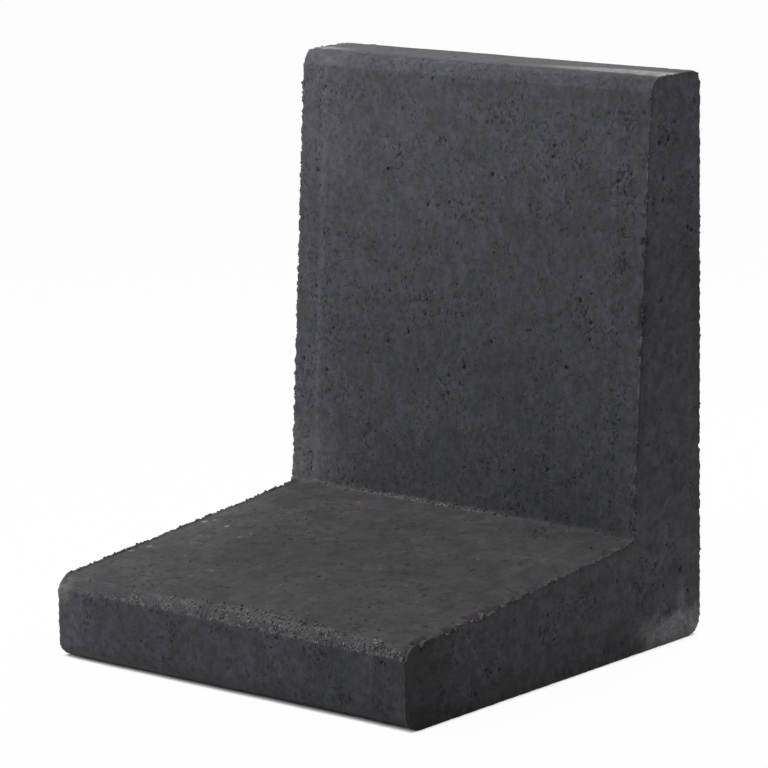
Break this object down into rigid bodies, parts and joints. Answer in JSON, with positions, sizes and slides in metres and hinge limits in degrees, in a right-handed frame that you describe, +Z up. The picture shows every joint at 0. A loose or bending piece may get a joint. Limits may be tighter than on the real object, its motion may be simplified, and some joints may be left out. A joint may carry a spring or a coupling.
{
  "type": "l-shaped retaining wall element",
  "caption": "L-shaped precast concrete retaining wall element: a leaning-faced stem on a sloping foot, with rounded long edges.",
  "frame": {"origin": "middle of the base, on the bed that the element stands on", "axes": "+X along the wall, -Y towards the toe, +Y out of the exposed back, +Z up"},
  "size_m": [0.396, 0.405, 0.5],
  "materials": {
    "anthracite_concrete": "matt, open-textured dry-cast concrete"
  },
  "bodies": {
    "root": {"wall_element": "anthracite_concrete"}
  },
  "joints": []
}
